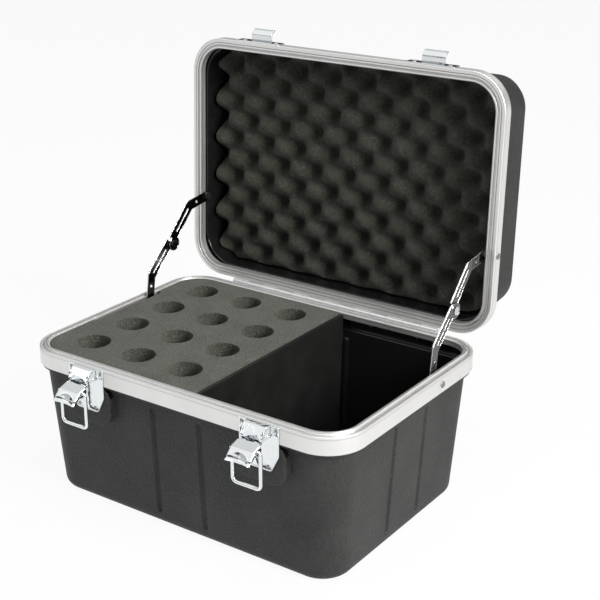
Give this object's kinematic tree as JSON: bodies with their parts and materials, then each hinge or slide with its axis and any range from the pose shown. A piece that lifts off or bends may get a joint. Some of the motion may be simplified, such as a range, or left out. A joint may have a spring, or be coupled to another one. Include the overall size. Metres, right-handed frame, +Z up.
{
  "type": "microphone case",
  "caption": "Moulded microphone case with a drilled foam insert, an accessory compartment, draw latches and a foam-lined lid held open by folding stays.",
  "frame": {"origin": "centre of the underside of the base", "axes": "+Z up, +X to the right as seen from the latches, +Y from the latches towards the hinge"},
  "size_m": [0.392, 0.4106, 0.4498],
  "materials": {
    "shell_plastic": "black ABS with a leather grain outside and a gloss inside",
    "frame_aluminium": "satin extrusion",
    "insert_foam": "dark grey open-cell foam",
    "lid_foam": "black convoluted open-cell foam",
    "divider_board": "smooth black sheet",
    "hinge_steel": "bright plated",
    "rivet_steel": "bright",
    "latch_chrome": "polished chrome plate",
    "stay_steel": "bright plated steel strip",
    "handle_plastic": "black moulded grip"
  },
  "bodies": {
    "base": {"base_shell": "shell_plastic", "base_frame": "frame_aluminium", "foam_insert": "insert_foam", "foam_base_pad": "insert_foam", "divider_panel": "divider_board", "hinge_base_leaf": "hinge_steel", "hinge_pin": "hinge_steel", "hinge_base_rivets": "rivet_steel", "latch_plate_left": "latch_chrome", "latch_rivets_left": "rivet_steel", "latch_pins_left": "latch_chrome", "stay_base_stud_left": "stay_steel", "latch_plate_right": "latch_chrome", "latch_rivets_right": "rivet_steel", "latch_pins_right": "latch_chrome", "stay_base_stud_right": "stay_steel"},
    "lid": {"lid_shell": "shell_plastic", "lid_frame": "frame_aluminium", "lid_foam": "lid_foam", "hinge_lid_leaf": "hinge_steel", "hinge_lid_rivets": "rivet_steel", "handle_rivets": "rivet_steel", "keeper_left": "latch_chrome", "keeper_rivets_left": "rivet_steel", "handle_bracket_left": "latch_chrome", "handle_pin_left": "latch_chrome", "handle_backing_left": "rivet_steel", "stay_lid_stud_left": "stay_steel", "keeper_right": "latch_chrome", "keeper_rivets_right": "rivet_steel", "handle_bracket_right": "latch_chrome", "handle_pin_right": "latch_chrome", "handle_backing_right": "rivet_steel", "stay_lid_stud_right": "stay_steel"},
    "handle": {"handle_grip": "handle_plastic"},
    "latch_lever_left": {"latch_lever_left": "latch_chrome"},
    "latch_sleeve_left": {"latch_sleeve_left": "latch_chrome"},
    "latch_bail_left": {"latch_bail_left": "latch_chrome"},
    "stay_lower_left": {"stay_lower_link_left": "stay_steel", "stay_knuckle_rivet_left": "stay_steel"},
    "stay_upper_left": {"stay_upper_link_left": "stay_steel", "stay_knuckle_cap_left": "stay_steel"},
    "latch_lever_right": {"latch_lever_right": "latch_chrome"},
    "latch_sleeve_right": {"latch_sleeve_right": "latch_chrome"},
    "latch_bail_right": {"latch_bail_right": "latch_chrome"},
    "stay_lower_right": {"stay_lower_link_right": "stay_steel", "stay_knuckle_rivet_right": "stay_steel"},
    "stay_upper_right": {"stay_upper_link_right": "stay_steel", "stay_knuckle_cap_right": "stay_steel"}
  },
  "joints": [
    {"name": "lid_hinge", "type": "hinge", "parent": "base", "child": "lid", "pos_m": [0, 0.1399, 0.161], "axis": [1, 0, 0], "range_deg": [0, 92.3]},
    {"name": "lever_pivot_left", "type": "hinge", "parent": "base", "child": "latch_lever_left", "pos_m": [-0.107, -0.1463, 0.1538], "axis": [1, 0, 0], "range_deg": [-20, 45]},
    {"name": "sleeve_turn_left", "type": "hinge", "parent": "latch_lever_left", "child": "latch_sleeve_left", "pos_m": [-0.107, -0.1563, 0.1404], "axis": [1, 0, 0], "range_deg": [-46, 21]},
    {"name": "bail_swing_left", "type": "hinge", "parent": "latch_sleeve_left", "child": "latch_bail_left", "pos_m": [-0.107, -0.1563, 0.1404], "axis": [1, 0, 0], "range_deg": [-180, 8]},
    {"name": "stay_lower_pivot_left", "type": "hinge", "parent": "base", "child": "stay_lower_left", "pos_m": [-0.1824, 0.045, 0.1512], "axis": [1, 0, 0], "range_deg": [-1, 113.39]},
    {"name": "stay_upper_pivot_left", "type": "hinge", "parent": "lid", "child": "stay_upper_left", "pos_m": [-0.1806, 0.15012, 0.25356], "axis": [1, 0, 0], "range_deg": [-128.16, 1]},
    {"name": "lever_pivot_right", "type": "hinge", "parent": "base", "child": "latch_lever_right", "pos_m": [0.107, -0.1463, 0.1538], "axis": [1, 0, 0], "range_deg": [-20, 45]},
    {"name": "sleeve_turn_right", "type": "hinge", "parent": "latch_lever_right", "child": "latch_sleeve_right", "pos_m": [0.107, -0.1563, 0.1404], "axis": [1, 0, 0], "range_deg": [-46, 21]},
    {"name": "bail_swing_right", "type": "hinge", "parent": "latch_sleeve_right", "child": "latch_bail_right", "pos_m": [0.107, -0.1563, 0.1404], "axis": [1, 0, 0], "range_deg": [-180, 8]},
    {"name": "stay_lower_pivot_right", "type": "hinge", "parent": "base", "child": "stay_lower_right", "pos_m": [0.1824, 0.045, 0.1512], "axis": [1, 0, 0], "range_deg": [-1, 113.39]},
    {"name": "stay_upper_pivot_right", "type": "hinge", "parent": "lid", "child": "stay_upper_right", "pos_m": [0.1806, 0.15012, 0.25356], "axis": [1, 0, 0], "range_deg": [-128.16, 1]},
    {"name": "handle_pivot", "type": "hinge", "parent": "lid", "child": "handle", "pos_m": [0, 0.23221, 0.31132], "axis": [1, 0, 0], "range_deg": [0, 165]}
  ],
  "couplings": [
    {"joint": "sleeve_turn_left", "follows": "lever_pivot_left", "ratio": -1},
    {"joint": "stay_lower_pivot_left", "follows": "lid_hinge", "ratio": 1.2177},
    {"joint": "stay_upper_pivot_left", "follows": "lid_hinge", "ratio": -1.3777},
    {"joint": "sleeve_turn_right", "follows": "lever_pivot_right", "ratio": -1},
    {"joint": "stay_lower_pivot_right", "follows": "lid_hinge", "ratio": 1.2177},
    {"joint": "stay_upper_pivot_right", "follows": "lid_hinge", "ratio": -1.3777}
  ]
}
